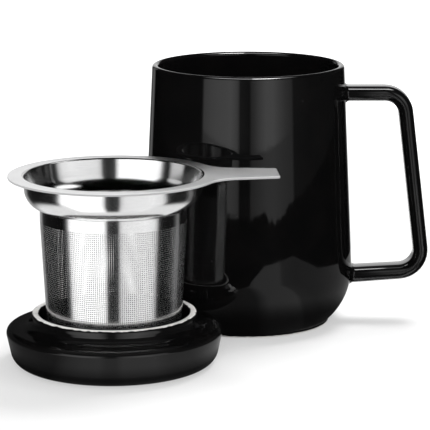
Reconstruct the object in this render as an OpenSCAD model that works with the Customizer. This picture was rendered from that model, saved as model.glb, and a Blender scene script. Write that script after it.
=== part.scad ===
// Tea mug with a lift-out steel infuser and a loose ceramic lid.
// The mug stands on the origin. The lid lies upside down beside it and
// the infuser stands in the hollow of the lid, as on a tray after brewing.
// Millimetres, +Z up, the mug's handle and the infuser's tab point to +X.

/* [Mug body] */
// Height of the mug from table to rim
mug_h = 116.6; // [100:0.1:140]
// Outer radius at the rim
rim_r = 43; // [38:0.1:48]
// Largest outer radius, low on the body
belly_r = 47.2; // [46.5:0.1:50]
// Height of the largest radius
belly_z = 24.5; // [20:0.5:30]
// Radius of the curve from the belly in to the foot
belly_round = 31; // [26:0.5:36]
// Wall thickness at the rim
rim_t = 3; // [2.4:0.1:3.6]
// Wall thickness of the body
wall_t = 3.8; // [3:0.1:4.5]
// Length of the straight mouth that the infuser hangs in
mouth_len = 12; // [8:0.5:20]
// Thickness of the floor above the foot ring's recess
floor_t = 5.6; // [4:0.1:8]
// Radius of the curve between the inside wall and the floor
floor_round = 12; // [6:0.5:16]
// Height of the foot ring
foot_h = 1.8; // [1:0.1:3]
// How far the foot ring stands in from the body's curve
foot_step = 0.5; // [0.2:0.1:2]
// Width of the foot ring
foot_w = 5; // [3:0.5:8]
// Depth of the recess inside the foot ring
foot_recess = 1.2; // [0.5:0.1:2]

/* [Mug handle] */
// Thickness of the handle strap
handle_t = 6.6; // [5:0.1:8]
// Width of the handle strap
handle_w = 12; // [9:0.5:16]
// Rounding of the strap's long edges
handle_edge = 2.4; // [1:0.1:2.4]
// Height of the upper bar's centre line
handle_top_z = 103.7; // [90:0.1:108]
// Height of the lower bar's centre line where it leaves the body
handle_low_z = 20.9; // [18:0.1:32]
// Rise of the lower bar towards the grip, in degrees
handle_low_tilt = 3.5; // [0:0.5:8]
// Reach of the grip's centre line past the rim at its upper corner
handle_top_reach = 26.5; // [20:0.5:34]
// Reach of the grip's centre line past the belly at its lower corner
handle_low_reach = 32.1; // [22:0.1:38]
// Bend radius of the upper corner's centre line
handle_top_bend = 9.5; // [8:0.5:14]
// Bend radius of the lower corner's centre line
handle_low_bend = 10; // [8:0.5:14]

/* [Lid] */
// How far the lid's widest edge overhangs the mug's rim
lid_overhang = 2.6; // [1:0.1:5]
// Thickness of the lid from its flat crown to its seat
lid_h = 16; // [13:0.5:22]
// Rounding of the crown's edge
crown_round = 6.6; // [4:0.1:9]
// How far the side flares out from the crown to the seat
lid_flare = 1.6; // [0:0.1:3]
// Rounding of the seat's outer edge
seat_round = 2.4; // [1:0.1:3.5]
// Height of the locating ring above the seat
ring_h = 6; // [4:0.5:9]
// Wall thickness of the locating ring
ring_t = 3.3; // [2.4:0.1:4]
// Rounding of the ring's bare rim
ring_edge = 1.1; // [0.4:0.1:1.2]
// Fillet between the seat and the ring
ring_fillet = 4.2; // [1:0.1:4.8]
// Thickness of the crown under the hollow
crown_t = 6; // [4:0.5:8]
// Fillet at the bottom of the hollow
hollow_round = 3; // [1:0.5:4]

/* [Infuser] */
// Height of the infuser from its base to the top of its flange
infuser_h = 74.8; // [60:0.1:85]
// Thickness of the flange and its tab
flange_t = 1; // [0.8:0.1:1.5]
// Thickness of the drawn collar below the flange
collar_t = 0.7; // [0.5:0.1:1]
// Radius of the drawn edge between the flange and the collar
draw_r = 1.3; // [1:0.1:2.5]
// Height of the collar below the flange
collar_h = 13.2; // [11:0.1:16]
// How far the collar's side leans in over its height
collar_lean = 0.2; // [0:0.1:1.5]
// Outer rounding at the bottom of the collar
collar_round = 8.8; // [8:0.1:10]
// How far the neck stands in from the collar's side
neck_in = 6.65; // [6:0.05:7.5]
// Length of the neck that the basket is welded to
neck_h = 4.2; // [2:0.1:4.8]
// Thickness of the basket's sheet
sheet_t = 0.3; // [0.2:0.05:0.5]
// Height of the basket's plain bands, at the neck and at the base
band_h = 4.9; // [4:0.1:8]
// Height of the base pan's upturned lip
pan_h = 2.5; // [1.5:0.1:3.5]
// Thickness of the base pan
pan_t = 0.5; // [0.3:0.1:0.8]
// Reach of the tab past the flange
tab_reach = 25.1; // [16:0.1:34]
// Width of the tab at its tip
tab_tip_w = 18.8; // [12:0.1:24]
// Width of the tab where it leaves the blend to the flange
tab_root_w = 22.4; // [14:0.1:28]
// Radius of the blend between the tab and the flange
tab_blend = 16; // [8:0.5:22]
// Rounding of the tip's corners
tab_corner = 1; // [0.5:0.1:3]
// Direction that the tab points in, in degrees from +X
tab_angle = 3.5; // [0:0.5:20]

/* [Fits] */
// Gap all round between the infuser's collar and the mug's mouth
collar_clear = 2.5; // [1:0.1:5]
// How far the flange overhangs the mug's rim
flange_overhang = 1.05; // [0.2:0.05:3]
// Gap all round between the lid's ring and the infuser's collar
ring_clear = 1.8; // [0.5:0.1:3]
// Gap all round between the basket and the fillet of the lid's hollow
basket_clear = 0.4; // [0.3:0.1:2]
// Radial gap left for the weld between the infuser's pressings
weld_gap = 0.05; // [0.03:0.01:0.1]

/* [Layout] */
// Gap between the mug's belly and the lid that lies beside it
stand_gap = 1.5; // [1:0.1:40]
// Direction from the mug to the lid, in degrees from +X
stand_angle = 232.6; // [200:0.1:250]

/* [Hidden] */
$fn = 180;

GLAZE = [0.035, 0.035, 0.038];
STEEL = [0.78, 0.78, 0.79];
POLISHED = [0.86, 0.86, 0.87];
// Degrees between the points of an arc, a strap section's corner and a strap's bend
ARC_STEP = 4;
SECTION_STEP = 22.5;
BEND_STEP = 8;

// Mug, as radii and heights of its profile
belly_c = [belly_r - belly_round, belly_z];
rim_c = [rim_r - rim_t / 2, mug_h - rim_t / 2];
mouth_r = rim_r - rim_t;
mouth_z = rim_c[1] - mouth_len;
floor_z = foot_recess + floor_t;
inner_round = belly_round - wall_t;
foot_arc = -asin((belly_z - foot_h) / belly_round);
foot_r = belly_c[0] + belly_round * cos(foot_arc) - foot_step;
floor_lift = belly_z - floor_z - floor_round;
floor_c = [belly_c[0] + sqrt(pow(inner_round - floor_round, 2) - pow(floor_lift, 2)), floor_z + floor_round];
floor_arc = -asin(floor_lift / (inner_round - floor_round));

// Infuser, seen from its own axis, with z up from the table it is laid on
base_z = crown_t;
flange_z = base_z + infuser_h;
flange_under_z = flange_z - flange_t;
flange_r = rim_r + flange_overhang;
collar_r = mouth_r - collar_clear;
collar_low_r = collar_r - collar_lean;
collar_c = [collar_low_r - collar_round, flange_under_z - collar_h + collar_round];
hole_r = collar_r - collar_t + draw_r;
neck_r = collar_low_r - neck_in;
neck_arc = -acos((neck_r - collar_c[0]) / collar_round);
neck_inner_arc = -acos((neck_r - collar_t - collar_c[0]) / (collar_round - collar_t));
shoulder_z = collar_c[1] + collar_round * sin(neck_arc);
band_r = neck_r + weld_gap;
tab_len = flange_r + tab_reach;

// Lid, which lies crown down
lid_r = rim_r + lid_overhang;
ring_r = collar_r - collar_t - ring_clear;
ring_z = lid_h + ring_h;
hollow_r = ring_r - ring_t;
crown_c = [lid_r - lid_flare - crown_round, crown_round];
seat_c = [lid_r - seat_round, lid_h - seat_round];
low_r = hollow_r - hollow_round - basket_clear;

// Places of the lid and the infuser beside the mug
stand_r = belly_r + stand_gap + lid_r;
stand = [stand_r * cos(stand_angle), stand_r * sin(stand_angle), 0];

// Handle, as corners of its centre line in the XZ plane
grip_top = [rim_r + handle_top_reach, handle_top_z];
grip_low = [belly_r + handle_low_reach, handle_low_z + handle_low_reach * tan(handle_low_tilt)];
root_top = [mouth_r - wall_t, handle_top_z];
root_low = [belly_c[0], handle_low_z - belly_round * tan(handle_low_tilt)];

// Points of an arc of radius r about c, from angle a to angle b
function arc(c, r, a, b, step = ARC_STEP) =
    let (n = ceil(abs(b - a) / step))
    [for (i = [0:n]) c + r * [cos(a + (b - a) * i / n), sin(a + (b - a) * i / n)]];

// Angle at which a line from point p touches the circle of radius r about c
function touch_angle(p, c, r) =
    atan2(p[1] - c[1], p[0] - c[0]) - acos(r / norm(p - c));

// Angle at which one line touches two circles on their outer side
function belt_angle(c1, r1, c2, r2) =
    atan2(c2[1] - c1[1], c2[0] - c1[0]) - acos((r1 - r2) / norm(c2 - c1));

function direction(p, q) = atan2(q[1] - p[1], q[0] - p[0]);

// The mug's outer profile from foot to rim, without the foot ring
function mug_outline() = concat(
    arc(belly_c, belly_round, foot_arc, touch_angle([rim_r, rim_c[1]], belly_c, belly_round)),
    arc(rim_c, rim_t / 2, 0, 180));

// The mug's inner profile from rim to floor
function mug_hollow() = concat(
    [[mouth_r, mouth_z]],
    arc(belly_c, inner_round, touch_angle([mouth_r, mouth_z], belly_c, inner_round), floor_arc),
    arc(floor_c, floor_round, floor_arc, -90));

module mug_body() {
    color(GLAZE)
    rotate_extrude()
    polygon(concat(
        [[foot_r, 0], [foot_r, foot_h]],
        mug_outline(),
        mug_hollow(),
        [[0, floor_z], [0, foot_recess], [foot_r - foot_w, foot_recess], [foot_r - foot_w, 0]]));
}

// Everything inside the mug's outer skin, to trim the handle's roots with
module mug_filled() {
    rotate_extrude()
    polygon(concat([[0, foot_h]], mug_outline(), [[0, mug_h - rim_t / 2]]));
}

// The strap's section, a rectangle with rounded corners, thickness before width
function strap_section() =
    let (
        corner = [handle_t / 2, handle_w / 2] - [handle_edge, handle_edge],
        quarter = arc(corner, handle_edge, 0, 90, SECTION_STEP),
        half = concat(quarter, [for (i = [len(quarter) - 1:-1:0]) [-quarter[i][0], quarter[i][1]]])
    )
    concat(half, -half);

// Stations of a bend about c, each a point of the centre line and its heading
function strap_bend(c, r, a, b) =
    let (n = ceil(abs(b - a) / BEND_STEP))
    [for (i = [0:n]) let (t = a + (b - a) * i / n) [c + r * [cos(t), sin(t)], t - 90]];

// Stations of the whole strap, from the upper root round to the lower one
function strap_path() =
    let (
        grip_dir = direction(grip_low, grip_top),
        low_dir = direction(root_low, grip_low),
        top_cut = handle_top_bend * tan((180 - grip_dir) / 2),
        low_cut = handle_low_bend * tan((grip_dir - low_dir) / 2),
        low_out = [cos(low_dir), sin(low_dir)],
        top_c = grip_top - [top_cut, handle_top_bend],
        low_c = grip_low - low_cut * low_out + handle_low_bend * [-low_out[1], low_out[0]]
    )
    concat(
        [[root_top, 0]],
        strap_bend(top_c, handle_top_bend, 90, grip_dir - 90),
        strap_bend(low_c, handle_low_bend, grip_dir - 90, low_dir - 90),
        [[root_low, low_dir - 180]]);

// A solid with the given section at each station of a path in the XZ plane
module sweep(section, path) {
    sides = len(section);
    last = (len(path) - 1) * sides;
    points = [for (station = path, p = section)
        let (across = p[0] * [-sin(station[1]), cos(station[1])])
        [station[0][0] + across[0], p[1], station[0][1] + across[1]]];
    walls = [for (k = [0:len(path) - 2], i = [0:sides - 1])
        let (j = (i + 1) % sides)
        [k * sides + i, k * sides + j, (k + 1) * sides + j, (k + 1) * sides + i]];
    near_end = [for (i = [sides - 1:-1:0]) i];
    far_end = [for (i = [0:sides - 1]) last + i];
    polyhedron(points, concat(walls, [near_end], [far_end]));
}

module mug_handle() {
    color(GLAZE)
    difference() {
        sweep(strap_section(), strap_path());
        mug_filled();
    }
}

module lid() {
    side = belt_angle(crown_c, crown_round, seat_c, seat_round);
    color(GLAZE)
    translate(stand)
    rotate_extrude()
    polygon(concat(
        [[0, 0]],
        arc(crown_c, crown_round, -90, side),
        arc(seat_c, seat_round, side, 90),
        arc([ring_r + ring_fillet, lid_h + ring_fillet], ring_fillet, 270, 180),
        arc([ring_r - ring_edge, ring_z - ring_edge], ring_edge, 0, 90),
        arc([hollow_r + ring_edge, ring_z - ring_edge], ring_edge, 90, 180),
        arc([hollow_r - hollow_round, crown_t + hollow_round], hollow_round, 0, -90),
        [[0, crown_t]]));
}

// Flange and collar, pressed from one sheet
module drawn_ring() {
    rotate_extrude()
    polygon(concat(
        [[flange_r, flange_z], [flange_r, flange_under_z], [collar_r, flange_under_z]],
        arc(collar_c, collar_round, 0, neck_arc),
        [[neck_r, shoulder_z - neck_h], [neck_r - collar_t, shoulder_z - neck_h]],
        arc(collar_c, collar_round - collar_t, neck_inner_arc, 0),
        arc([hole_r, flange_z - draw_r], draw_r, 180, 90)));
}

// One side of the tab's outline, from the flange out to the tip
function tab_side() =
    let (
        half = tab_root_w / 2,
        reach = flange_r + tab_blend,
        a = asin((half + tab_blend) / reach),
        c = reach * [cos(a), sin(a)],
        tip = tab_tip_w / 2
    )
    concat(
        arc(c, tab_blend, 180 + a, 270),
        arc([tab_len - tab_corner, tip - tab_corner], tab_corner, 90, 0));

function mirrored(points) =
    [for (i = [len(points) - 1:-1:0]) [points[i][0], -points[i][1]]];

module tab() {
    rotate([0, 0, tab_angle])
    translate([0, 0, flange_under_z])
    linear_extrude(flange_t)
    difference() {
        polygon(concat([[0, 0]], tab_side(), mirrored(tab_side())));
        circle(r = (hole_r + flange_r) / 2);
    }
}

module infuser_rim() {
    color(STEEL)
    translate(stand) {
        drawn_ring();
        tab();
    }
}

module infuser_basket() {
    color(POLISHED)
    translate(stand)
    rotate_extrude()
    polygon([
        [band_r, shoulder_z - weld_gap], [band_r, shoulder_z - band_h],
        [low_r - sheet_t, base_z + band_h], [low_r - sheet_t, base_z],
        [low_r, base_z], [low_r, base_z + band_h],
        [band_r + sheet_t, shoulder_z - band_h], [band_r + sheet_t, shoulder_z - weld_gap]]);
}

module infuser_base() {
    pan_r = low_r - sheet_t - weld_gap;
    color(POLISHED)
    translate(stand + [0, 0, base_z])
    difference() {
        cylinder(r = pan_r, h = pan_h);
        translate([0, 0, pan_t])
        cylinder(r = pan_r - pan_t, h = pan_h);
    }
}

mug_body();
mug_handle();
lid();
infuser_rim();
infuser_basket();
infuser_base();
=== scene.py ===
import math
from functools import reduce

import bmesh
import bpy
from mathutils import Matrix, Vector


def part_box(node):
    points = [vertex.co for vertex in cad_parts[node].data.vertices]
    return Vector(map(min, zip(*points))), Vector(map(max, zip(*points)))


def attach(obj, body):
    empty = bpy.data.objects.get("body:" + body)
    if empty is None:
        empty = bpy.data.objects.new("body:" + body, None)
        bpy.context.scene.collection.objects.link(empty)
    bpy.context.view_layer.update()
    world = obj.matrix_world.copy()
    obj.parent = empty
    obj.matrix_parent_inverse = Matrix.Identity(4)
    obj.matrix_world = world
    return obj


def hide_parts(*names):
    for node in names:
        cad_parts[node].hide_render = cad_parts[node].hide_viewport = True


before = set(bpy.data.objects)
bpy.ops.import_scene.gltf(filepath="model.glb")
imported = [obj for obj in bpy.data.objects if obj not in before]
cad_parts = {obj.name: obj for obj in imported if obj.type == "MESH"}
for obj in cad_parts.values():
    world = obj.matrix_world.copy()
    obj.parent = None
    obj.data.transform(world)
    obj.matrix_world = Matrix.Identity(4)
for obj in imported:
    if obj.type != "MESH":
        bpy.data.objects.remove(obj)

MM = 0.001
scene = bpy.context.scene
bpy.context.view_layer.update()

# ---- Mug body ----
# Slip-cast stoneware: a straight mouth, a wall that widens downwards, a round belly and a foot ring.
# It is dipped in a glossy black glaze, and the foot ring it is fired on is wiped back to bare clay.
mug_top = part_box("mug_body")[1].z
belly_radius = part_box("mug_body")[1].x
rim_radius = 43 * MM
rim_thickness = 3 * MM
wall_thickness = 3.8 * MM
mouth_length = 12 * MM
belly_height = 24.5 * MM
belly_round = 31 * MM
floor_height = 6.8 * MM
floor_round = 12 * MM
foot_height = 1.8 * MM
foot_step = 0.5 * MM
foot_width = 5 * MM
foot_recess = 1.2 * MM
foot_edge = 0.6 * MM
bare_foot = 0.55 * MM
bare_foot_wander = 0.5 * MM
TURNS = 224
WELD = 0.002 * MM

BLACK_GLAZE = (0.0024, 0.0024, 0.0025, 1)
BLACK_GLAZE_THIN = (0.0033, 0.0031, 0.0031, 1)
GLAZE_SPECK = (0.05, 0.05, 0.052, 1)
GLAZE_IOR = 1.5
GLAZE_ROUGHNESS = 0.022
GLAZE_WEAR = 0.05
GLAZE_RELIEF = 0.02 * MM
CLAY = (0.8, 0.79, 0.77, 1)
CLAY_DARK = (0.68, 0.67, 0.65, 1)
CLAY_SMOOTHEST = 0.72
CLAY_ROUGHEST = 0.9

# Noise cells in a metre
POOLING_SCALE = 90.0
PINHOLE_SCALE = 130.0
SMUDGE_SCALE = 38.0
PEEL_SCALE = 260.0
SWELL_SCALE = 55.0
GRAIN_SCALE = 2600.0
CLOUD_SCALE = 210.0
RAGGED_SCALE = 420.0

# Heights as shares of the glaze's relief
PEEL_HEIGHT = 0.1
SWELL_HEIGHT = 0.9
PINHOLE_HEIGHT = -0.5
GRAIN_HEIGHT = 1.2
LIP_HEIGHT = 4.0

# A pinhole's size in its noise cell, and the share of the cells that have none
PINHOLE_EDGE = 0.045
PINHOLE_CORE = 0.03
PINHOLE_RARITY = 0.86

glaze_edge_soft = 0.04 * MM
glaze_lip_outside = 0.12 * MM
glaze_lip_inside = -0.5 * MM


def arc(centre, radius, start, end, steps):
    """Points of an arc in a profile, between two angles in degrees."""
    angles = [math.radians(start + (end - start) * i / steps) for i in range(steps + 1)]
    return [(centre[0] + radius * math.cos(a), centre[1] + radius * math.sin(a)) for a in angles]


def belt_angle(low_centre, low_round, high_centre, high_round=0):
    """The angle in degrees at which a line touches two circles from outside. The high one may be a point."""
    across, up = high_centre[0] - low_centre[0], high_centre[1] - low_centre[1]
    apart = math.hypot(across, up)
    return math.degrees(math.atan2(up, across) - math.acos((low_round - high_round) / apart))


def turned(profile, centre=(0, 0), closed=False, steps=TURNS):
    """A bmesh of a profile of radii and heights, turned about a vertical axis."""
    bm = bmesh.new()
    points = [bm.verts.new((centre[0] + r, centre[1], z)) for r, z in profile]
    follow = points[1:] + points[:1] if closed else points[1:]
    edges = [bm.edges.new(pair) for pair in zip(points, follow)]
    bmesh.ops.spin(bm, geom=points + edges, cent=(*centre, 0), axis=(0, 0, 1), angle=math.tau, steps=steps,
                   use_merge=True)
    bmesh.ops.remove_doubles(bm, verts=bm.verts[:], dist=WELD)
    bmesh.ops.recalc_face_normals(bm, faces=bm.faces[:])
    return bm


def mesh_object(name, bm, finish):
    """Puts a bmesh with one material into the scene."""
    mesh = bpy.data.meshes.new(name)
    bm.to_mesh(mesh)
    bm.free()
    mesh.materials.append(finish)
    made = bpy.data.objects.new(name, mesh)
    scene.collection.objects.link(made)
    return made


def piece(name, bm, finish, body, node, crease=35):
    """Makes an object of a bmesh, smooth up to a crease angle, that stands for a CAD node."""
    made = mesh_object(name, bm, finish)
    made.data.shade_smooth()
    made.data.set_sharp_from_angle(angle=math.radians(crease))
    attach(made, body)
    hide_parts(node)


def node(tree, kind, inputs=(), **settings):
    """Adds a shader node. Each input is a value, or the socket that feeds it."""
    made = tree.nodes.new("ShaderNode" + kind)
    for name, value in settings.items():
        setattr(made, name, value)
    for socket, value in dict(inputs).items():
        if isinstance(value, bpy.types.NodeSocket):
            tree.links.new(value, made.inputs[socket])
        else:
            made.inputs[socket].default_value = value
    return made


def noise(tree, vector, scale, detail, roughness=0.5):
    inputs = {"Vector": vector, "Scale": scale, "Detail": detail, "Roughness": roughness}
    return node(tree, "TexNoise", inputs).outputs["Fac"]


def remap(tree, value, low, high, to_low=0.0, to_high=1.0, smooth=False):
    """Maps a value from one range to another, and clamps it."""
    inputs = {"Value": value, "From Min": low, "From Max": high, "To Min": to_low, "To Max": to_high}
    kind = "SMOOTHSTEP" if smooth else "LINEAR"
    return node(tree, "MapRange", inputs, interpolation_type=kind).outputs["Result"]


def math_node(tree, operation, a, b=0.0):
    return node(tree, "Math", {0: a, 1: b}, operation=operation).outputs[0]


def vector_node(tree, operation, a, b=(0, 0, 0)):
    return node(tree, "VectorMath", {0: a, 1: b}, operation=operation).outputs


def total(tree, *values):
    return reduce(lambda a, b: math_node(tree, "ADD", a, b), values)


def product(tree, *values):
    return reduce(lambda a, b: math_node(tree, "MULTIPLY", a, b), values)


def mix_colour(tree, share, a, b):
    return node(tree, "Mix", {0: share, 6: a, 7: b}, data_type="RGBA").outputs[2]


def mix_value(tree, share, a, b):
    return node(tree, "Mix", {0: share, 2: a, 3: b}, data_type="FLOAT").outputs[0]


def group(name, inputs, outputs):
    """A node group with named sockets. Returns its tree, its input node and its output node."""
    tree = bpy.data.node_groups.new(name, "ShaderNodeTree")
    for socket, kind in inputs.items():
        tree.interface.new_socket(name=socket, in_out="INPUT", socket_type="NodeSocket" + kind)
    for socket, kind in outputs.items():
        tree.interface.new_socket(name=socket, in_out="OUTPUT", socket_type="NodeSocket" + kind)
    return tree, tree.nodes.new("NodeGroupInput").outputs, tree.nodes.new("NodeGroupOutput").inputs


def use_group(tree, made, inputs):
    return node(tree, "Group", inputs, node_tree=made).outputs


def link(tree, sockets, **values):
    """Feeds sockets that are given by name, with an underscore for a space."""
    for socket, value in values.items():
        tree.links.new(value, sockets[socket.replace("_", " ")])


def material(name, **constants):
    """A material and the parts to finish it with: its tree, its shader's inputs, and object coordinates."""
    made = bpy.data.materials.new(name)
    made.use_nodes = True
    tree = made.node_tree
    shader = tree.nodes["Principled BSDF"].inputs
    for socket, value in constants.items():
        shader[socket.replace("_", " ")].default_value = value
    return made, tree, shader, node(tree, "TexCoord").outputs["Object"]


def coat(tree, shader, colour, rough, height, relief):
    """Feeds a shader its colour, its roughness and its bump."""
    bump = node(tree, "Bump", {"Height": height, "Strength": 1.0, "Distance": relief}).outputs["Normal"]
    link(tree, shader, Base_Color=colour, Roughness=rough, Normal=bump)


def black_glaze_group():
    """Glossy black glaze: faint pooling, a few pale pinholes, light smudges and orange peel."""
    tree, given, out = group(
        "black_glaze", {"Vector": "Vector"}, {"Color": "Color", "Roughness": "Float", "Height": "Float"})
    place = given["Vector"]
    pooling = remap(tree, noise(tree, place, POOLING_SCALE, 3.0), 0.4, 0.7)
    colour = mix_colour(tree, pooling, BLACK_GLAZE, BLACK_GLAZE_THIN)
    cells = node(tree, "TexVoronoi", {"Vector": place, "Scale": PINHOLE_SCALE}, feature="F1").outputs
    spot = remap(tree, cells["Distance"], PINHOLE_EDGE, PINHOLE_CORE)
    lot = node(tree, "SeparateColor", {0: cells["Color"]}).outputs[0]
    pinhole = product(tree, spot, math_node(tree, "GREATER_THAN", lot, PINHOLE_RARITY))
    colour = mix_colour(tree, pinhole, colour, GLAZE_SPECK)
    smudge = remap(tree, noise(tree, place, SMUDGE_SCALE, 5.0, 0.62), 0.5, 0.75)
    rough = total(tree, product(tree, smudge, GLAZE_WEAR), GLAZE_ROUGHNESS)
    peel = product(tree, noise(tree, place, PEEL_SCALE, 1.0), PEEL_HEIGHT)
    swell = product(tree, noise(tree, place, SWELL_SCALE, 1.0), SWELL_HEIGHT)
    dent = product(tree, pinhole, PINHOLE_HEIGHT)
    link(tree, out, Color=colour, Roughness=rough, Height=total(tree, peel, swell, dent))
    return tree


def bare_clay_group():
    """Unglazed fired clay: dry, pale and finely grained."""
    tree, given, out = group(
        "bare_clay", {"Vector": "Vector"}, {"Color": "Color", "Roughness": "Float", "Height": "Float"})
    grain = noise(tree, given["Vector"], GRAIN_SCALE, 4.0, 0.7)
    cloud = noise(tree, given["Vector"], CLOUD_SCALE, 3.0)
    mottled = remap(tree, total(tree, grain, cloud), 0.75, 1.25)
    colour = mix_colour(tree, mottled, CLAY_DARK, CLAY)
    rough = remap(tree, grain, 0.3, 0.7, CLAY_SMOOTHEST, CLAY_ROUGHEST)
    link(tree, out, Color=colour, Roughness=rough, Height=product(tree, grain, GRAIN_HEIGHT))
    return tree


def glaze_edge_group():
    """Share of bare clay past a wandering glaze line. Past is how far a point lies beyond the line."""
    tree, given, out = group(
        "glaze_edge",
        {"Vector": "Vector", "Past": "Float", "Wander": "Float"},
        {"Bare": "Float", "Lip": "Float"})
    ragged = math_node(tree, "SUBTRACT", noise(tree, given["Vector"], RAGGED_SCALE, 4.0, 0.6), 0.5)
    depth = total(tree, given["Past"], product(tree, ragged, given["Wander"]))
    lip = remap(tree, depth, glaze_lip_outside, glaze_lip_inside, smooth=True)
    link(tree, out, Bare=remap(tree, depth, -glaze_edge_soft, glaze_edge_soft), Lip=lip)
    return tree


black_glaze = black_glaze_group()
bare_clay = bare_clay_group()
glaze_edge = glaze_edge_group()


def glazed(name, bare_side=0, line=0.0, wander=0.0):
    """Black glaze over clay, which is bare above the line if bare_side is 1, and below it if that is -1."""
    made, tree, shader, place = material(name, IOR=GLAZE_IOR)
    glaze = use_group(tree, black_glaze, {"Vector": place})
    colour, rough, height = glaze["Color"], glaze["Roughness"], glaze["Height"]
    if bare_side:
        up = node(tree, "SeparateXYZ", {0: place}).outputs["Z"]
        past = product(tree, math_node(tree, "SUBTRACT", up, line), bare_side)
        edge = use_group(tree, glaze_edge, {"Vector": place, "Past": past, "Wander": wander})
        clay = use_group(tree, bare_clay, {"Vector": place})
        colour = mix_colour(tree, edge["Bare"], colour, clay["Color"])
        rough = mix_value(tree, edge["Bare"], rough, clay["Roughness"])
        height = mix_value(tree, edge["Bare"], height, clay["Height"])
        height = total(tree, height, product(tree, edge["Lip"], LIP_HEIGHT))
    coat(tree, shader, colour, rough, height, GLAZE_RELIEF)
    return made


belly_centre = (belly_radius - belly_round, belly_height)
rim_centre = (rim_radius - rim_thickness / 2, mug_top - rim_thickness / 2)
mouth_low = (rim_radius - rim_thickness, rim_centre[1] - mouth_length)
inner_round = belly_round - wall_thickness
foot_angle = -math.degrees(math.asin((belly_height - foot_height) / belly_round))
foot_radius = belly_centre[0] + belly_round * math.cos(math.radians(foot_angle)) - foot_step
foot_inner = foot_radius - foot_width
foot_bevel = foot_edge / 2
step_round = foot_edge * 0.4
floor_lift = belly_height - floor_height - floor_round
floor_reach = math.sqrt((inner_round - floor_round) ** 2 - floor_lift ** 2)
floor_centre = (belly_centre[0] + floor_reach, floor_height + floor_round)
floor_angle = -math.degrees(math.asin(floor_lift / (inner_round - floor_round)))
side_angle = belt_angle(belly_centre, belly_round, (rim_radius, rim_centre[1]))
hollow_angle = belt_angle(belly_centre, inner_round, mouth_low)

body_profile = [(0, foot_recess)]
body_profile += arc((foot_inner - foot_edge, foot_recess - foot_edge), foot_edge, 90, 0, 3)
body_profile += [(foot_inner, foot_bevel), (foot_inner + foot_bevel, 0)]
body_profile += [(foot_radius - foot_bevel, 0), (foot_radius, foot_bevel)]
body_profile += [(foot_radius, foot_height - step_round), (foot_radius + step_round / 2, foot_height)]
body_profile += arc(belly_centre, belly_round, foot_angle, side_angle, 40)
body_profile += arc(rim_centre, rim_thickness / 2, 0, 180, 20)
body_profile += [mouth_low]
body_profile += arc(belly_centre, inner_round, hollow_angle, floor_angle, 24)
body_profile += arc(floor_centre, floor_round, floor_angle, -90, 12)
body_profile += [(0, floor_height)]

mug_glaze = glazed("black_glaze_mug", bare_side=-1, line=bare_foot, wander=bare_foot_wander)
piece("mug_body_glazed", turned(body_profile), mug_glaze, "mug", "mug_body")

# ---- Mug handle ----
# A flat strap with round edges, cast by itself and luted to the body with slip before glazing.
# The glaze pools in the joint, which leaves a small fillet all round both roots.
strap_thickness = 6.6 * MM
strap_width = 12 * MM
strap_edge = 2.9 * MM
upper_bar = 103.7 * MM
lower_bar = 20.9 * MM
lower_tilt = 3.5
upper_reach = 26.5 * MM
lower_reach = 32.1 * MM
upper_bend = 9.5 * MM
lower_bend = 10 * MM
lower_swell = 0.5 * MM
root_fillet = 1.7 * MM
root_sink = 0.4 * MM
BEND_STEPS = 10
ROOT_STEPS = 6


def wall_radius(height):
    """Outer radius of the mug at a height."""
    tangent = belly_centre[1] + belly_round * math.sin(math.radians(side_angle))
    if height < tangent:
        return belly_centre[0] + math.sqrt(belly_round ** 2 - (height - belly_height) ** 2)
    low = belly_centre[0] + belly_round * math.cos(math.radians(side_angle))
    return low + (rim_radius - low) * (height - tangent) / (rim_centre[1] - tangent)


def heading_vector(angle):
    """A unit vector in the XZ plane, at an angle in degrees."""
    return Vector((math.cos(math.radians(angle)), math.sin(math.radians(angle))))


def strap_section():
    """Points round the strap, thickness before width, each with the way it faces."""
    half_t, half_w = strap_thickness / 2, strap_width / 2
    points = []
    for quarter, (side_t, side_w) in enumerate([(1, 1), (-1, 1), (-1, -1), (1, -1)]):
        centre = (side_t * (half_t - strap_edge), side_w * (half_w - strap_edge))
        ring = arc(centre, strap_edge, quarter * 90, quarter * 90 + 90, 6)
        points += [(p, ((p[0] - centre[0]) / strap_edge, (p[1] - centre[1]) / strap_edge)) for p in ring]
    return points


def strap_stations():
    """The centre line round both bends: points in the XZ plane, each with its heading in degrees."""
    low_rise = lower_reach * math.tan(math.radians(lower_tilt))
    top_corner = Vector((rim_radius + upper_reach, upper_bar))
    low_corner = Vector((belly_radius + lower_reach, lower_bar + low_rise))
    grip = top_corner - low_corner
    grip_angle = math.degrees(math.atan2(grip.y, grip.x))
    top_cut = upper_bend * math.tan(math.radians((180 - grip_angle) / 2))
    low_cut = lower_bend * math.tan(math.radians((grip_angle - lower_tilt) / 2))
    along = heading_vector(lower_tilt)
    top_centre = top_corner - Vector((top_cut, upper_bend))
    low_centre = low_corner - low_cut * along + lower_bend * Vector((-along.y, along.x))
    bends = [
        (top_centre, upper_bend, 90, grip_angle - 90),
        (low_centre, lower_bend, grip_angle - 90, lower_tilt - 90)]
    stations = []
    for centre, bend, start, end in bends:
        for i in range(BEND_STEPS + 1):
            angle = start + (end - start) * i / BEND_STEPS
            stations.append((centre + bend * heading_vector(angle), angle - 90))
    return stations


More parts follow.
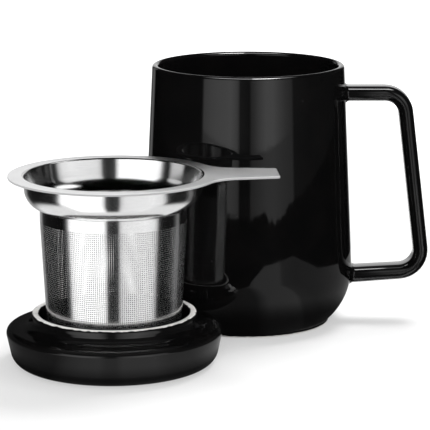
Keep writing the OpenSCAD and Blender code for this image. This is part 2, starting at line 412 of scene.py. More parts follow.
def strap_mesh():
    """The strap as one skin, from the upper root round to the lower one."""
    section = strap_section()

    def across(spot, heading, swell=0.0, grow=0.0):
        """The section at a spot: swell adds to its thickness, and grow moves its whole skin out."""
        turn = math.radians(heading)
        rise = Vector((-math.sin(turn), math.cos(turn)))
        made = []
        for (t, w), (face_t, face_w) in section:
            t = t * (1 + swell / strap_thickness) + face_t * grow
            made.append(Vector((spot.x + rise.x * t, w + face_w * grow, spot.y + rise.y * t)))
        return made

    def root(height, heading, swell=0.0):
        """Rings of a root, from the fillet's start through its foot on the wall to just inside the wall."""
        angles = [math.radians(90 * i / ROOT_STEPS) for i in range(ROOT_STEPS + 1)]
        rings = [(root_fillet * (1 - math.cos(a)), root_fillet * (1 - math.sin(a))) for a in angles]
        rings.append((root_fillet, -root_sink))
        made = []
        for grow, away in rings:
            ring = across(Vector((0, height)), heading, swell, grow)
            for p in ring:
                p.x = math.sqrt(wall_radius(p.z) ** 2 - p.y ** 2) + away
            made.append(ring)
        return made

    middle = [across(*station) for station in strap_stations()]
    rings = root(upper_bar, 0)[::-1] + middle + root(lower_bar, 180, lower_swell)
    bm = bmesh.new()
    first = [bm.verts.new(p) for p in rings[0]]
    edges = [bm.edges.new(pair) for pair in zip(first, first[1:] + first[:1])]
    bm.faces.new(first)
    for ring in rings[1:]:
        grown = bmesh.ops.extrude_edge_only(bm, edges=edges)["geom"]
        new = [v for v in grown if isinstance(v, bmesh.types.BMVert)]
        edges = [e for e in grown if isinstance(e, bmesh.types.BMEdge)]
        for v, p in zip(new, ring):
            v.co = p
    bm.faces.new(new)
    bmesh.ops.recalc_face_normals(bm, faces=bm.faces[:])
    return bm


piece("mug_handle_glazed", strap_mesh(), glazed("black_glaze_handle"), "mug", "mug_handle")

# ---- Lid ----
# One ceramic casting that lies crown down: a thick disc, and a locating ring that drops into the mug.
# It is glazed black and fired standing on the ring, so the ring's rim is wiped back to bare clay.
lid_low, lid_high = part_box("lid")
lid_centre = (lid_low + lid_high) / 2
lid_axis = (lid_centre.x, lid_centre.y)
lid_radius = (lid_high.x - lid_low.x) / 2
ring_top = lid_high.z
seat_height = 16 * MM
crown_round = 6.6 * MM
lid_flare = 1.6 * MM
seat_round = 2.4 * MM
ring_radius = 35 * MM
ring_wall = 3.3 * MM
ring_edge = 1.1 * MM
ring_fillet = 4.2 * MM
crown_thickness = 6 * MM
hollow_round = 3 * MM
bare_ring = 0.2 * MM
bare_ring_wander = 0.9 * MM

crown_centre = (lid_radius - lid_flare - crown_round, crown_round)
seat_centre = (lid_radius - seat_round, seat_height - seat_round)
lid_side = belt_angle(crown_centre, crown_round, seat_centre, seat_round)
hollow_radius = ring_radius - ring_wall

lid_profile = [(0, 0)]
lid_profile += arc(crown_centre, crown_round, -90, lid_side, 18)
lid_profile += arc(seat_centre, seat_round, lid_side, 90, 12)
lid_profile += arc((ring_radius + ring_fillet, seat_height + ring_fillet), ring_fillet, 270, 180, 10)
lid_profile += arc((ring_radius - ring_edge, ring_top - ring_edge), ring_edge, 0, 90, 8)
lid_profile += arc((hollow_radius + ring_edge, ring_top - ring_edge), ring_edge, 90, 180, 8)
lid_profile += arc((hollow_radius - hollow_round, crown_thickness + hollow_round), hollow_round, 0, -90, 8)
lid_profile += [(0, crown_thickness)]

lid_glaze = glazed("black_glaze_lid", bare_side=1, line=ring_top - bare_ring, wander=bare_ring_wander)
piece("lid_glazed", turned(lid_profile, lid_axis), lid_glaze, "lid", "lid")

# ---- Infuser rim ----
# Pressed stainless steel: a flat flange with a finger tab, drawn down into a collar and a narrow neck.
# The top is brushed along the tab. The collar is polished on the lathe.
flange_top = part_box("infuser_rim")[1].z
flange_thickness = 1 * MM
flange_radius = 44.05 * MM
hole_radius = 38.1 * MM
draw_radius = 0.9 * MM
collar_radius = 37.5 * MM
collar_sheet = 0.7 * MM
collar_lean = 0.2 * MM
collar_round = 8.8 * MM
collar_height = 13.2 * MM
collar_fillet = 0.6 * MM
collar_inner_round = 7.5 * MM
collar_inner_lean = 11
neck_inset = 6.65 * MM
neck_height = 4.2 * MM
tab_length = 69.15 * MM
tab_tip = 18.8 * MM
tab_root = 22.4 * MM
tab_blend = 16 * MM
tab_corner = 1 * MM
tab_angle = 3.5
edge_round = 0.22 * MM
STRAIGHTENING_ROWS = 8
SHARP_EDGE = 60

STEEL = (0.79, 0.79, 0.79, 1)
STEEL_DARK = (0.71, 0.71, 0.715, 1)
POLISH = (0.12, 0.16)
POLISH_RELIEF = 0.00015 * MM
POLISH_ANISOTROPY = 0.85
BRUSH = (0.34, 0.44)
BRUSH_RELIEF = 0.0015 * MM
BRUSH_ANISOTROPY = 0.7
ROUND_AXIS = 0.25

# Noise cells of scratches: in a metre across them, in a radian along a ring, in a metre along a stroke
SCRATCH_SCALE = 5200.0
RING_SCALE = 7.0
STROKE_SCALE = 160.0
STEEL_SMUDGE_SCALE = 60.0
SCRATCH_SHARE = 0.7


def steel_group():
    """Stainless steel with fine scratches. Grain is a vector that is stretched along the scratches."""
    tree, given, out = group(
        "steel_surface",
        {"Grain": "Vector", "Place": "Vector", "Smoothest": "Float", "Roughest": "Float"},
        {"Color": "Color", "Roughness": "Float", "Height": "Float"})
    scratch = noise(tree, given["Grain"], 1.0, 3.0, 0.6)
    smudge = noise(tree, given["Place"], STEEL_SMUDGE_SCALE, 4.0, 0.6)
    both = total(tree, product(tree, scratch, SCRATCH_SHARE), product(tree, smudge, 1 - SCRATCH_SHARE))
    wear = remap(tree, both, 0.35, 0.65)
    span = math_node(tree, "SUBTRACT", given["Roughest"], given["Smoothest"])
    rough = total(tree, given["Smoothest"], product(tree, wear, span))
    link(tree, out, Color=mix_colour(tree, wear, STEEL_DARK, STEEL), Roughness=rough, Height=scratch)
    return tree


steel_surface = steel_group()


def lathe_grain(tree, place):
    """Coordinates that are stretched round the infuser's axis, for scratches left by a lathe."""
    moved = vector_node(tree, "SUBTRACT", place, (*lid_axis, 0))["Vector"]
    parts = node(tree, "SeparateXYZ", {0: moved}).outputs
    turn = math_node(tree, "ARCTAN2", parts["Y"], parts["X"])
    flat = node(tree, "CombineXYZ", {0: parts["X"], 1: parts["Y"]}).outputs[0]
    reach = vector_node(tree, "LENGTH", flat)["Value"]
    return node(tree, "CombineXYZ", {
        0: product(tree, turn, RING_SCALE),
        1: product(tree, reach, SCRATCH_SCALE),
        2: product(tree, parts["Z"], SCRATCH_SCALE)}).outputs[0]


def tab_grain(tree, place):
    """Coordinates that are stretched along the tab, for the strokes of a brush."""
    turn = (0, 0, -math.radians(tab_angle))
    stretch = (STROKE_SCALE, SCRATCH_SCALE, SCRATCH_SCALE)
    return node(tree, "Mapping", {"Vector": place, "Rotation": turn, "Scale": stretch}).outputs["Vector"]


def steel(name, grain, finish, relief, **constants):
    """Bare steel. Grain stretches its scratches. Finish is its least and its greatest roughness."""
    made, tree, shader, place = material(name, Metallic=1.0, **constants)
    surface = use_group(tree, steel_surface, {
        "Grain": grain(tree, place), "Place": place, "Smoothest": finish[0], "Roughest": finish[1]})
    coat(tree, shader, surface["Color"], surface["Roughness"], surface["Height"], relief)
    return made


def polished_steel(name):
    return steel(name, lathe_grain, POLISH, POLISH_RELIEF, Anisotropic=POLISH_ANISOTROPY,
                 Anisotropic_Rotation=ROUND_AXIS)


flange_under = flange_top - flange_thickness
collar_low = collar_radius - collar_lean
bend_centre = (collar_low - collar_round, flange_under - collar_height + collar_round)
neck_radius = collar_low - neck_inset
neck_inner = neck_radius - collar_sheet
neck_arc = -math.degrees(math.acos((neck_radius - bend_centre[0]) / collar_round))
neck_inner_arc = -math.degrees(math.acos((neck_inner - bend_centre[0]) / collar_inner_round))
neck_end = bend_centre[1] + collar_round * math.sin(math.radians(neck_arc)) - neck_height
fillet_centre = (collar_radius + collar_fillet, flange_under - collar_fillet)
drawn_centre = (hole_radius, flange_top - draw_radius)

collar_profile = [(hole_radius, flange_top), (hole_radius, flange_under)]
collar_profile += arc(fillet_centre, collar_fillet, 90, 180, 4)
collar_profile += arc(bend_centre, collar_round, 0, neck_arc, 18)
collar_profile += [(neck_radius, neck_end), (neck_inner, neck_end)]
collar_profile += arc(bend_centre, collar_inner_round, neck_inner_arc, -collar_inner_lean, 18)
collar_profile += arc(drawn_centre, draw_radius, 180 - collar_inner_lean, 90, 10)[:-1]
collar_steel = polished_steel("polished_collar")
piece("infuser_collar_drawn", turned(collar_profile, lid_axis, closed=True), collar_steel, "infuser",
      "infuser_rim")


def tab_rows():
    """Half the angle that the tab takes of the rim, and its outline as rows: their reach and half width."""
    reach = flange_radius + tab_blend
    half_root, half_tip = tab_root / 2, tab_tip / 2
    half_angle = math.asin((half_root + tab_blend) / reach)
    blend = (reach * math.cos(half_angle), reach * math.sin(half_angle))
    rows = arc(blend, tab_blend, 180 + math.degrees(half_angle), 270, 12)
    rows += arc((tab_length - tab_corner, half_tip - tab_corner), tab_corner, 90, 0, 5)
    return half_angle, rows


def rim_mesh():
    """The flange as a flat ring, with its tab drawn out of the edge row by row."""
    flat = [(flange_radius, flange_top), (flange_radius, flange_under)]
    flat += [(hole_radius, flange_under), (hole_radius, flange_top)]
    bm = turned(flat, lid_axis, closed=True)
    half_angle, rows = tab_rows()
    turn = Matrix.Rotation(math.radians(tab_angle), 3, "Z")
    axis = Vector((*lid_axis, 0))

    def local(place):
        return turn.inverted() @ (place - axis)

    def layer_and_side(v):
        return round(v.co.z, 6), local(v.co).y

    edge = []
    for f in bm.faces:
        c = local(f.calc_center_median())
        on_rim = all(abs(local(v.co).xy.length - flange_radius) < WELD for v in f.verts)
        if on_rim and abs(math.atan2(c.y, c.x)) < half_angle:
            edge.append(f)
    share = {v: local(v.co).y for f in edge for v in f.verts}
    widest = max(map(abs, share.values()))
    share = {v: side / widest for v, side in share.items()}
    for number, (out_x, half) in enumerate(rows[1:], 1):
        bulge = max(0, 1 - number / STRAIGHTENING_ROWS)
        made = bmesh.ops.extrude_face_region(bm, geom=edge)["geom"]
        bmesh.ops.delete(bm, geom=edge, context="FACES")
        edge = [f for f in made if isinstance(f, bmesh.types.BMFace)]
        new = sorted([v for v in made if isinstance(v, bmesh.types.BMVert)], key=layer_and_side)
        last = sorted(share, key=layer_and_side)
        share = {v: share[before] for v, before in zip(new, last)}
        for v, s in share.items():
            rim_x = math.sqrt(flange_radius ** 2 - (widest * s) ** 2)
            rise = 0 if abs(s) > 0.9999 else (rim_x - flange_radius * math.cos(half_angle)) * bulge
            spot = turn @ Vector((out_x + rise, half * s, 0))
            v.co = Vector((axis.x + spot.x, axis.y + spot.y, v.co.z))
    bmesh.ops.recalc_face_normals(bm, faces=bm.faces[:])
    corner = math.radians(SHARP_EDGE)
    sharp = [e for e in bm.edges if len(e.link_faces) == 2 and e.calc_face_angle(0) > corner
             and min(local(v.co).xy.length for v in e.verts) > flange_radius - WELD * 5]
    bmesh.ops.bevel(bm, geom=sharp, offset=edge_round, segments=3, profile=0.5, affect="EDGES", material=-1)
    return bm


flange_steel = steel("brushed_flange", tab_grain, BRUSH, BRUSH_RELIEF, Anisotropic=BRUSH_ANISOTROPY)
piece("infuser_flange_brushed", rim_mesh(), flange_steel, "infuser", "infuser_rim")

# ---- Infuser basket ----
# A strip of thin steel with rows of etched square holes, rolled to a slightly tapered tube and seam welded.
# It keeps a plain band at the neck, where it is spot welded, and one at the base.
basket_low, basket_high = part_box("infuser_basket")
sheet = 0.3 * MM
band = 4.9 * MM
hole_pitch = 0.85 * MM
hole_share = 0.52
top_radius = (basket_high.x - basket_low.x) / 2
base_radius = 28.3 * MM
seam_width = 3 * MM
SHEET_CREASE = 50

basket_steel = polished_steel("polished_basket")


def lattice(start, count, pitch):
    """Edges of a row of holes and of the bars between them."""
    edges = []
    for i in range(count):
        edges += [start + pitch * (i + (1 - hole_share) / 2), start + pitch * (i + (1 + hole_share) / 2)]
    return edges


def basket_ring(top):
    """The upper or lower half of the tube: a sheet with square holes, open at its cut edge."""
    low, high = basket_low.z + band, basket_high.z - band
    rows = round((high - low) / hole_pitch)
    row_step = (high - low) / rows
    columns = round(math.pi * (top_radius + base_radius) / hole_pitch)
    half = rows // 2
    middle = low + row_step * half
    if top:
        heights = [middle] + lattice(middle, rows - half, row_step) + [high + band / 2, basket_high.z]
    else:
        heights = [basket_low.z, low - band / 2] + lattice(low, half, row_step) + [middle]
    first_row = 1 if top else 2
    last_row = len(heights) - (4 if top else 3)
    inset = sheet / 2

    def radius(z):
        share = min(1, max(0, (z - low) / (high - low)))
        return base_radius + (top_radius - base_radius) * share - inset

    bm = turned([(radius(z), z) for z in heights], lid_axis, steps=2 * columns)
    axis = Vector((*lid_axis, 0))
    step = math.pi / columns
    open_faces = []
    for f in bm.faces:
        c = f.calc_center_median() - axis
        column = int((math.atan2(c.y, c.x) % math.tau) / step)
        row = next(i for i, z in enumerate(heights) if z > c.z) - 1
        seam = abs(c.x) < seam_width / 2 and c.y > 0
        if column % 2 and (row - first_row) % 2 == 0 and first_row <= row <= last_row and not seam:
            open_faces.append(f)
    shift = step * (hole_share - 0.5)
    for v in bm.verts:
        c = v.co - axis
        column = round((math.atan2(c.y, c.x) % math.tau) / step)
        lean = -shift if column % 2 else shift
        v.co = axis + Matrix.Rotation(lean, 3, "Z") @ c
    bmesh.ops.delete(bm, geom=open_faces, context="FACES_ONLY")
    bmesh.ops.recalc_face_normals(bm, faces=bm.faces[:])
    bmesh.ops.solidify(bm, geom=bm.faces[:], thickness=inset)
    return bm


for side, top in (("upper", True), ("lower", False)):
    piece("infuser_basket_" + side, basket_ring(top), basket_steel, "infuser", "infuser_basket",
          SHEET_CREASE)

# ---- Infuser base ----
# A shallow pan pressed from the same etched sheet. Its upturned lip is welded inside the tube's lower band.
pan_low, pan_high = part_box("infuser_base")
pan_radius = (pan_high.x - pan_low.x) / 2
pan_sheet = 0.5 * MM
pan_round = 0.8 * MM
pan_field = 23.8 * MM
pan_margin = 0.6 * MM
PAN_TURNS = 96

pan_corner = (pan_radius - pan_round, pan_low.z + pan_round)
pan_profile = [(pan_field, pan_low.z)]
pan_profile += arc(pan_corner, pan_round, -90, 0, 5)
pan_profile += [(pan_radius, pan_high.z), (pan_radius - pan_sheet, pan_high.z)]
pan_profile += arc(pan_corner, pan_round - pan_sheet, 0, -90, 3)
pan_profile += [(pan_field, pan_low.z + pan_sheet)]
pan_ring = turned(pan_profile, lid_axis, closed=True, steps=PAN_TURNS)
piece("infuser_base_pan", pan_ring, basket_steel, "infuser", "infuser_base")


def etched_disc():
    """The pan's floor: a sheet with square holes, whose plain edge lies buried in the pan."""
    count = 2 * round((pan_field + pan_margin) / hole_pitch)
    start = -count / 2 * hole_pitch
    lines = [start] + lattice(start, count, hole_pitch) + [-start]
    last = len(lines) - 1
    height = pan_low.z + (pan_sheet + sheet) / 2
    bm = bmesh.new()
    bmesh.ops.create_grid(bm, x_segments=last, y_segments=last, size=1)
    cut = []
    for f in bm.faces:
        c = f.calc_center_median()
        column, row = int((c.x + 1) / 2 * last), int((c.y + 1) / 2 * last)
        reach = math.hypot(lines[column] + lines[column + 1], lines[row] + lines[row + 1]) / 2
        hole = column % 2 and row % 2 and reach < pan_field - pan_margin
        if hole or reach > pan_field + pan_margin:
            cut.append(f)
    for v in bm.verts:
        column, row = round((v.co.x + 1) / 2 * last), round((v.co.y + 1) / 2 * last)
        v.co = (lid_axis[0] + lines[column], lid_axis[1] + lines[row], height)
    bmesh.ops.delete(bm, geom=cut, context="FACES")
    bmesh.ops.recalc_face_normals(bm, faces=bm.faces[:])
    bmesh.ops.solidify(bm, geom=bm.faces[:], thickness=sheet)
    return bm


piece("infuser_base_etched", etched_disc(), basket_steel, "infuser", "infuser_base",
      SHEET_CREASE)

# ---- Studio ----
# A pale table in a white room. Each class of piece mirrors a light tent of its own, which no other piece
# sees: far walls that glow by direction, and for the mug and the lid a glow close round them on the table.
camera_place = Vector((-14.82, -1002.91, 256.51)) * MM
camera_pitch = 11.76
focal_pixels = 2265.02
frame_pixels = 430
SENSOR = 36.0
TABLE_SIZE = 8
TABLE_WHITE = 0.35
TABLE_GLOW = 0.45
TABLE_GLOW_FAR = 1.2
glow_grows = (220 * MM, 600 * MM)
ROOM_LIGHT = 0.85
TENT_SIZE = 60
TURN = 360

lens = bpy.data.cameras.new("camera")
lens.sensor_width = SENSOR
lens.lens = focal_pixels / frame_pixels * SENSOR
camera = bpy.data.objects.new("camera", lens)
camera.location = camera_place
camera.rotation_euler = (math.radians(90 - camera_pitch), 0, 0)
scene.collection.objects.link(camera)
scene.camera = camera


def spread(tree, share, points):
    """A value that follows points of degrees and value. Share is 0 at -180 degrees and 1 at 180."""
    peak = max(value for degrees, value in points)
    ramp = node(tree, "ValToRGB", {"Fac": share})
    stops = ramp.color_ramp.elements
    while len(stops) < len(points):
        stops.new(0.5)
    for stop, (degrees, value) in zip(stops, points):
        stop.position = (degrees + TURN / 2) / TURN
        stop.color = (value / peak, value / peak, value / peak, 1)
    return product(tree, ramp.outputs["Color"], peak)


def above(tree, value, level, soft):
    """One above a level, and zero below it, with a soft edge."""
    return remap(tree, value, level - soft, level + soft, smooth=True)


def below(tree, value, level, soft):
    return remap(tree, value, level + soft, level - soft, smooth=True)


def between(tree, value, low, high, soft=1.0):
    return product(tree, above(tree, value, low, soft), below(tree, value, high, soft))


def mirrored_again(tree):
    """One for light that exactly two pieces mirror in turn."""
    depth = node(tree, "LightPath").outputs["Glossy Depth"]
    return product(tree, remap(tree, depth, 1.5, 1.6), remap(tree, depth, 2.6, 2.5))


def direction_group():
    """A place's bearing as a share of a turn, its climb in degrees, its reach, and which way it lies."""
    tree, given, out = group(
        "direction", {"Place": "Vector", "Centre": "Vector"},
        {"Bearing": "Float", "Climb": "Float", "Reach": "Float", "Way": "Vector"})
    moved = vector_node(tree, "SUBTRACT", given["Place"], given["Centre"])["Vector"]
    way = vector_node(tree, "NORMALIZE", moved)["Vector"]
    parts = node(tree, "SeparateXYZ", {0: moved}).outputs
    turn = math_node(tree, "ARCTAN2", parts["X"], product(tree, parts["Y"], -1.0))
    climb = math_node(tree, "ARCSINE", node(tree, "SeparateXYZ", {0: way}).outputs["Z"])
    reach = vector_node(tree, "LENGTH", moved)["Value"]
    bearing = remap(tree, turn, -math.pi, math.pi)
    link(tree, out, Bearing=bearing, Climb=math_node(tree, "DEGREES", climb), Reach=reach, Way=way)
    return tree


direction = direction_group()

# Points have a bearing, in degrees from the camera's side towards the handle, and a brightness. A foot or
# white edge has degrees below the horizon instead, and mug_near_edge millimetres. handle_climb has climbs.
mug_sides = [
    (-180, 1), (-168, 0.9), (-162, 0.05), (-158, 0.05), (-155, 0.3), (-148, 0.3), (-144, 0), (-58, 0.02),
    (-55, 0.06), (-54, 0.45), (-45, 0.68), (-36, 0.66), (-29, 0.62), (-21, 0.72), (-16, 0.62), (-12, 0.5),
    (-10, 0.03), (1, 0.03), (3, 0.3), (10, 0.42), (20, 0.58), (28, 0.6), (35, 0.53), (43, 0.44), (51, 0.38),
    (53, 0.08), (74, 0.04), (150, 0), (160, 0.05), (166, 0.8), (180, 1)]
mug_sides_end = 18
mug_sides_soft = 4
mug_hot_spots = [
    (-180, 0), (-56, 0), (-52, 0.3), (-45, 0.3), (-37, 0.45), (-29, 0.55), (-21, 0.55), (-15, 0.4),
    (-10, 0.1), (2, 0.02), (6, 0.1), (13, 0.4), (20, 0.62), (28, 0.6), (35, 0.35), (43, 0.12), (50, 0),
    (180, 0)]
mug_hot_start = -3.65
mug_hot_soft = 0.12
mug_foot = [
    (-180, 16), (-140, 16), (-132, 6.2), (5, 6.2), (9, 6.05), (13, 6.1), (17, 6), (20, 6.15), (23, 6.5),
    (26, 6.4), (29, 6.6), (33, 6.45), (36, 6.5), (42, 6.3), (50, 6.2), (132, 6.2), (140, 16), (180, 16)]
mug_foot_soft = 0.06
mug_foot_wander = 0.12
mug_foot_waves = 90.0
rim_strip = [
    (-180, 0), (-90, 0), (-60, 8), (6, 10), (10, 40), (54, 40), (58, 8), (80, 6), (100, 0), (180, 0)]
rim_strip_climb = (56, 72)


def mug_walls(tree, lies):
    """Tall soft boxes with a ragged foot and a hot top, and a strip overhead that draws the rim's line."""
    climb, bearing = lies["Climb"], lies["Bearing"]
    hot = above(tree, climb, mug_hot_start, mug_hot_soft)
    hot = product(tree, spread(tree, bearing, mug_hot_spots), hot)
    sides = total(tree, spread(tree, bearing, mug_sides), hot)
    wave = noise(tree, node(tree, "CombineXYZ", {0: bearing}).outputs[0], mug_foot_waves, 3.0)
    ragged = remap(tree, wave, 0.0, 1.0, -mug_foot_wander, mug_foot_wander)
    over_foot = total(tree, climb, spread(tree, bearing, mug_foot), ragged)
    sides = product(tree, sides, above(tree, over_foot, 0, mug_foot_soft))
    sides = product(tree, sides, below(tree, climb, mug_sides_end, mug_sides_soft))
    overhead = between(tree, climb, *rim_strip_climb)
    return total(tree, sides, product(tree, spread(tree, bearing, rim_strip), overhead))


mug_near = [
    (-180, 0.3), (-60, 0.3), (-20, 0.1), (-4, 0.12), (6, 0.46), (30, 0.5), (34, 0.28), (47, 0.22),
    (180, 0.3)]
mug_near_edge = [
    (-180, 160), (-60, 160), (-30, 130), (-8, 150), (3, 230), (16, 288), (30, 296), (46, 308), (74, 225),
    (121, 177), (180, 160)]
mug_near_soft = 3 * MM
mug_near_turn = 10
mug_near_turned = (200 * MM, 80 * MM)
mug_shade = 0.1
mug_shade_reach = (44 * MM, 72 * MM)


def mug_table(tree, lies):
    """The lit table in front of the mug, up to the shade of the soft boxes."""
    bearing, reach = lies["Bearing"], lies["Reach"]
    edge = product(tree, spread(tree, bearing, mug_near_edge), MM)
    past = math_node(tree, "SUBTRACT", reach, edge)
    turn = remap(tree, reach, *mug_near_turned, 0.0, mug_near_turn / TURN)
    near = spread(tree, math_node(tree, "SUBTRACT", bearing, turn), mug_near)
    shade = remap(tree, reach, *mug_shade_reach, mug_shade, 1.0, smooth=True)
    return product(tree, near, shade, below(tree, past, 0, mug_near_soft))


handle_sides = [
    (-180, 1.2), (-150, 1.2), (-130, 0), (-8, 0), (-4, 0.7), (6, 0.8), (9, 0.08), (14, 0.08), (18, 1.15),
    (38, 1.2), (44, 0.04), (130, 0), (150, 1.2), (180, 1.2)]
handle_climb = [
    (-180, 1), (-34, 1), (-30, 0.1), (-24, 0.1), (-20, 0.9), (-10, 0.9), (-7, 0.5), (0, 0.5), (8, 1),
    (22, 1), (30, 0.1), (180, 0)]
handle_strip = [(-180, 0), (-80, 0), (-60, 1), (3, 1.5), (8, 12), (60, 12), (80, 0), (180, 0)]
handle_strip_climb = (64, 78)


def handle_walls(tree, lies):
    """Narrow strip lights, which draw fine lines along the strap."""
    climb, bearing = lies["Climb"], lies["Bearing"]
    height = remap(tree, climb, -TURN / 2, TURN / 2)
    sides = product(tree, spread(tree, bearing, handle_sides), spread(tree, height, handle_climb))
    overhead = between(tree, climb, *handle_strip_climb)
    return total(tree, sides, product(tree, spread(tree, bearing, handle_strip), overhead))


lid_ring = [
    (-180, 0.03), (-60, 0.03), (-54, 0.8), (-45, 1.1), (-28, 1.4), (-17, 1.2), (-9, 0.5), (-5, 0.1),
    (2, 0.1), (7, 0.5), (15, 0.9), (31, 1.3), (45, 0.9), (57, 0.7), (62, 0.05), (180, 0.03)]
lid_ring_climb = (0, 20)
lid_mirrored = [
    (-180, 0.1), (-36, 0.1), (-30, 3.5), (-7, 3.5), (-3, 0.5), (3, 0.5), (7, 3.5), (33, 3.5), (40, 0.1),
    (180, 0.1)]
lid_back = [(-180, 12), (-152, 12), (-146, 0.1), (146, 0.1), (152, 12), (180, 12)]
lid_back_climb = (53, 70)
lid_front = [(-180, 0), (-100, 0), (-70, 0.06), (70, 0.06), (100, 0), (180, 0)]
lid_front_climb = (24, 78)
lid_soft = 2


def lid_walls(tree, lies):
    """A soft box with a flag in its middle for the ring, a strip behind for the seat, and a dim top."""
    climb, bearing = lies["Climb"], lies["Bearing"]
    mirrored = mix_value(tree, mirrored_again(tree), 1.0, spread(tree, bearing, lid_mirrored))
    ring = product(tree, spread(tree, bearing, lid_ring), between(tree, climb, *lid_ring_climb), mirrored)
    back = product(tree, spread(tree, bearing, lid_back), between(tree, climb, *lid_back_climb, lid_soft))
    front = product(tree, spread(tree, bearing, lid_front), between(tree, climb, *lid_front_climb, lid_soft))
    return total(tree, ring, back, front)


lid_near = [
    (-180, 0.15), (-75, 0.12), (-62, 0.14), (-40, 0.16), (-30, 0.4), (-20, 0.55), (-8, 0.6), (-3, 0.46),
    (3, 0.45), (8, 0.64), (30, 0.66), (42, 0.45), (62, 0.36), (80, 0.42), (180, 0.3)]
lid_shade = 0.12
lid_shade_reach = (44 * MM, 58 * MM)
lid_near_end = (90 * MM, 120 * MM)


def lid_table(tree, lies):
    """The table round the lid, dark where the lid shades it, which gives way to the soft box further out."""
    bearing, reach = lies["Bearing"], lies["Reach"]
    shade = remap(tree, reach, *lid_shade_reach, lid_shade, 1.0, smooth=True)
    near = product(tree, spread(tree, bearing, lid_near), shade)
    return mix_value(tree, remap(tree, reach, *lid_near_end), near, spread(tree, bearing, lid_ring))


steel_sides = [
    (-180, 0.6), (-150, 0.3), (-140, 0.03), (-125, 0.01), (-84, 0.005), (-78, 0.05), (-74, 0.4), (-70, 1.3),
    (-60, 1.6), (-14, 1.5), (-10, 0.9), (-7, 0.06), (2, 0.03), (9, 0.06), (13, 0.8), (18, 1), (56, 1.1),
    (68, 1), (73, 0.7), (78, 0.05), (84, 0.01), (108, 0.01), (114, 0.06), (121, 0.2), (128, 0.12),
    (140, 0.04), (150, 0.6), (180, 1)]
steel_sides_end = 40
steel_sides_soft = 4
steel_turn = 7
white_from_below = 1.7
flagged = 0.06


def steel_boxes(tree, lies):
    """Soft boxes and black flags, which stand further round for what looks up than for what looks down."""
    climb = lies["Climb"]
    turn = remap(tree, climb, -1.0, 1.0, 0.0, steel_turn / TURN)
    sides = spread(tree, math_node(tree, "SUBTRACT", lies["Bearing"], turn), steel_sides)
    return product(tree, sides, below(tree, climb, steel_sides_end, steel_sides_soft))


collar_white_edge = [(-180, 30), (-66, 30), (-54, 56), (54, 56), (66, 30), (180, 30)]
collar_white_soft = 6
collar_white = 0.95
collar_front = [(-180, 0), (-120, 0), (-100, 1), (100, 1), (120, 0), (180, 0)]
collar_front_climb = -20
collar_front_soft = 2
# Bearing, climb, radius and brightness
collar_glints = [(108, 53, 12, 1.5), (107, 14, 14, 0.4), (-93, 15, 13, 0.7)]


def round_glow(tree, way, bearing, climb, radius, strength):
    """A round light in one direction, soft over a fifth of its radius to each side."""
    turn, up = math.radians(bearing), math.radians(climb)
    aim = (math.sin(turn) * math.cos(up), -math.cos(turn) * math.cos(up), math.sin(up))
    facing = vector_node(tree, "DOT_PRODUCT", way, aim)["Value"]
    edge, core = math.cos(math.radians(radius * 1.2)), math.cos(math.radians(radius * 0.8))
    return remap(tree, facing, edge, core, 0.0, strength)


def collar_walls(tree, lies):
    """The soft boxes over white. What two pieces mirror in turn is dark in front, but not from below."""
    climb, bearing = lies["Climb"], lies["Bearing"]
    again = mirrored_again(tree)
    over_edge = total(tree, climb, spread(tree, bearing, collar_white_edge))
    white = remap(tree, again, 0.0, 1.0, collar_white, white_from_below)
    sides = mix_value(tree, below(tree, over_edge, 0, collar_white_soft), steel_boxes(tree, lies), white)
    for glint in collar_glints:
        sides = total(tree, sides, round_glow(tree, lies["Way"], *glint))
    over_front = above(tree, climb, collar_front_climb, collar_front_soft)
    again = product(tree, again, spread(tree, bearing, collar_front), over_front)
    return product(tree, sides, remap(tree, again, 0.0, 1.0, 1.0, flagged))


basket_ceiling = 0.6
basket_ceiling_climb = 62
basket_ceiling_soft = 8
basket_white_climb = -50
basket_white_soft = 10


def basket_walls(tree, lies):
    """The soft boxes over black, under a pale ceiling. As the collar mirrors it, there is white below."""
    climb = lies["Climb"]
    white = remap(tree, mirrored_again(tree), 0.0, 1.0, 0.0, white_from_below)
    once = remap(tree, node(tree, "LightPath").outputs["Glossy Depth"], 1.6, 1.5, 0.0, basket_ceiling)
    ceiling = product(tree, once, above(tree, climb, basket_ceiling_climb, basket_ceiling_soft))
    boxes = total(tree, steel_boxes(tree, lies), ceiling)
    return mix_value(tree, above(tree, climb, basket_white_climb, basket_white_soft), white, boxes)


flange_climb = (12, 30)
flange_light = (0.68, 1.18)


def flange_walls(tree, lies):
    """Even light that grows with height. What two pieces mirror in turn is dark."""
    even = remap(tree, lies["Climb"], *flange_climb, *flange_light, smooth=True)
    return product(tree, even, remap(tree, mirrored_again(tree), 0.0, 1.0, 1.0, flagged))


def stage_object(name, bm, finish):
    made = mesh_object(name, bm, finish)
    return made


def stage_material(name):
    made = bpy.data.materials.new(name)
    made.use_nodes = True
    made.node_tree.nodes.clear()
    return made, made.node_tree


def tent(name, pieces, bm, light, centre=(0, 0)):
    """A part of the light tent that only some pieces mirror. Light says how bright it is by direction."""
    finish, tree = stage_material(name)
    finish.cycles.emission_sampling = "NONE"
    place = node(tree, "TexCoord").outputs["Object"]
    lies = use_group(tree, direction, {"Place": place, "Centre": (*centre, 0)})
    glow = node(tree, "Emission", {"Strength": light(tree, lies)})
    clear = node(tree, "BsdfTransparent")
    mixed = node(tree, "AddShader", {0: glow.outputs[0], 1: clear.outputs[0]})
    link(tree, node(tree, "OutputMaterial").inputs, Surface=mixed.outputs[0])
    made = stage_object(name, bm, finish)
    for ray in ("camera", "diffuse", "shadow", "transmission"):
        setattr(made, "visible_" + ray, False)
    seen_by = bpy.data.collections.new(name)
    for piece_name in pieces:
        seen_by.objects.link(bpy.data.objects[piece_name])
    made.light_linking.receiver_collection = seen_by


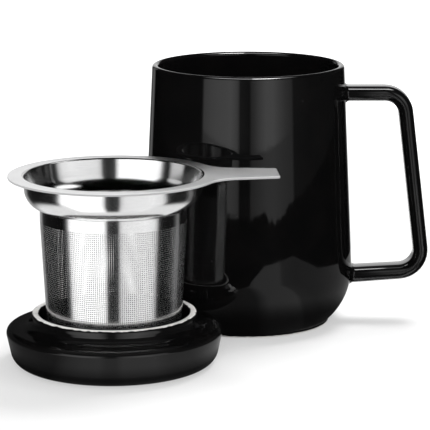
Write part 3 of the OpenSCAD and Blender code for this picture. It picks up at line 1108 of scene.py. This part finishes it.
def walls(size):
    bm = bmesh.new()
    bmesh.ops.create_cube(bm, size=size)
    return bm


def level_square(size, height):
    bm = bmesh.new()
    bmesh.ops.create_grid(bm, x_segments=1, y_segments=1, size=size / 2)
    bmesh.ops.translate(bm, verts=bm.verts[:], vec=(0, 0, height))
    return bm


# The tents stand one round the other, so that no two walls share a plane
basket_pieces = ["infuser_basket_upper", "infuser_basket_lower", "infuser_base_pan", "infuser_base_etched"]
tents = [
    ("mug", ["mug_body_glazed"], mug_walls),
    ("handle", ["mug_handle_glazed"], handle_walls),
    ("lid", ["lid_glazed"], lid_walls),
    ("collar", ["infuser_collar_drawn"], collar_walls),
    ("flange", ["infuser_flange_brushed"], flange_walls),
    ("basket", basket_pieces, basket_walls)]
for number, (name, pieces, light) in enumerate(tents):
    tent("tent_" + name, pieces, walls(TENT_SIZE + number), light)

# Both glows lie just over the table, one over the other
MUG_GLOW_SIZE = 1
LID_GLOW_SIZE = 4
mug_glow_height = 0.04 * MM
lid_glow_height = 0.02 * MM
tent("tent_floor_mug", ["mug_body_glazed"], level_square(MUG_GLOW_SIZE, mug_glow_height), mug_table)
tent("tent_floor_lid", ["lid_glazed"], level_square(LID_GLOW_SIZE, lid_glow_height), lid_table, lid_axis)

# The table glows for the camera alone, so that it fades to white far off
table_top, tree = stage_material("pale_table")
place = node(tree, "TexCoord").outputs["Object"]
distance = vector_node(tree, "LENGTH", place)["Value"]
far = remap(tree, distance, *glow_grows, TABLE_GLOW, TABLE_GLOW_FAR, smooth=True)
matt = node(tree, "BsdfDiffuse", {"Color": (TABLE_WHITE, TABLE_WHITE, TABLE_WHITE, 1)})
to_camera = node(tree, "LightPath").outputs["Is Camera Ray"]
glow = node(tree, "Emission", {"Strength": product(tree, to_camera, far)})
mixed = node(tree, "AddShader", {0: matt.outputs[0], 1: glow.outputs[0]})
link(tree, node(tree, "OutputMaterial").inputs, Surface=mixed.outputs[0])
table = stage_object("table", level_square(TABLE_SIZE, 0), table_top)
table.visible_glossy = False

world = bpy.data.worlds.new("white_room")
scene.world = world
world.use_nodes = True
world.cycles_visibility.glossy = False
tree = world.node_tree
tree.nodes.clear()
path = node(tree, "LightPath").outputs
seen = math_node(tree, "MAXIMUM", path["Is Camera Ray"], path["Is Transmission Ray"])
sky = node(tree, "Background", {"Color": (1, 1, 1, 1), "Strength": mix_value(tree, seen, ROOM_LIGHT, 1.0)})
link(tree, node(tree, "OutputWorld").inputs, Surface=sky.outputs[0])


def lamp(name, place, aim, size, power):
    """A square soft lamp that no piece mirrors. Its places and its size are in millimetres."""
    data = bpy.data.lights.new(name, "AREA")
    data.size = size * MM
    data.energy = power
    made = bpy.data.objects.new(name, data)
    made.location = Vector(place) * MM
    made.rotation_euler = (Vector(aim) - Vector(place)).to_track_quat("-Z", "Y").to_euler()
    made.visible_glossy = False
    made.visible_camera = False
    scene.collection.objects.link(made)


lamp("overhead_lamp", place=(220, 240, 760), aim=(-20, -40, 0), size=350, power=9.0)
lamp("front_lamp", place=(-60, -900, 300), aim=(-57, -75, 20), size=300, power=4.0)

scene.view_settings.view_transform = "Standard"
